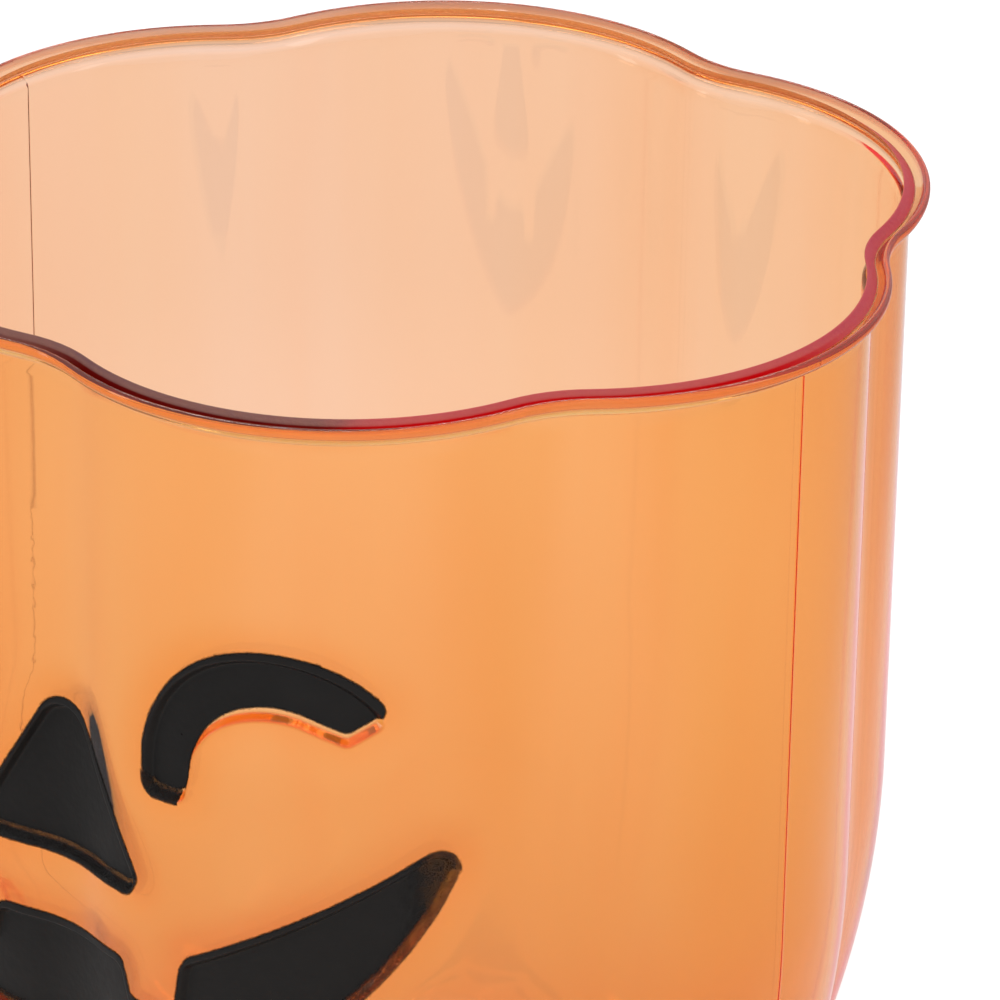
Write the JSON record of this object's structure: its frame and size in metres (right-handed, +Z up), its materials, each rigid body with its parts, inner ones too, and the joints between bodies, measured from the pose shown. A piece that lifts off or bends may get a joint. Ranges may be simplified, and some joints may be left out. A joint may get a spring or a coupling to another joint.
{
  "type": "pumpkin cup",
  "caption": "Lobed see-through orange tumbler with a flared, trimmed lip, a rounded bowl, a ring foot and a sunk, black-painted jack-o'-lantern face.",
  "frame": {"origin": "middle of the foot ring, on the surface the cup stands on", "axes": "+Z up through the mouth of the cup, face towards -Y, mould's parting seams on +X and -X"},
  "size_m": [0.0928, 0.087, 0.1],
  "materials": {
    "orange_plastic": "clear dyed plastic, glossy as moulded, matt on the trimmed lip",
    "black_paint": "satin black spray paint with a grainy, soft edge"
  },
  "bodies": {
    "root": {"cup_body": "orange_plastic", "right_eye_paint": "black_paint", "left_eye_paint": "black_paint", "nose_paint": "black_paint", "mouth_paint": "black_paint"}
  },
  "joints": []
}
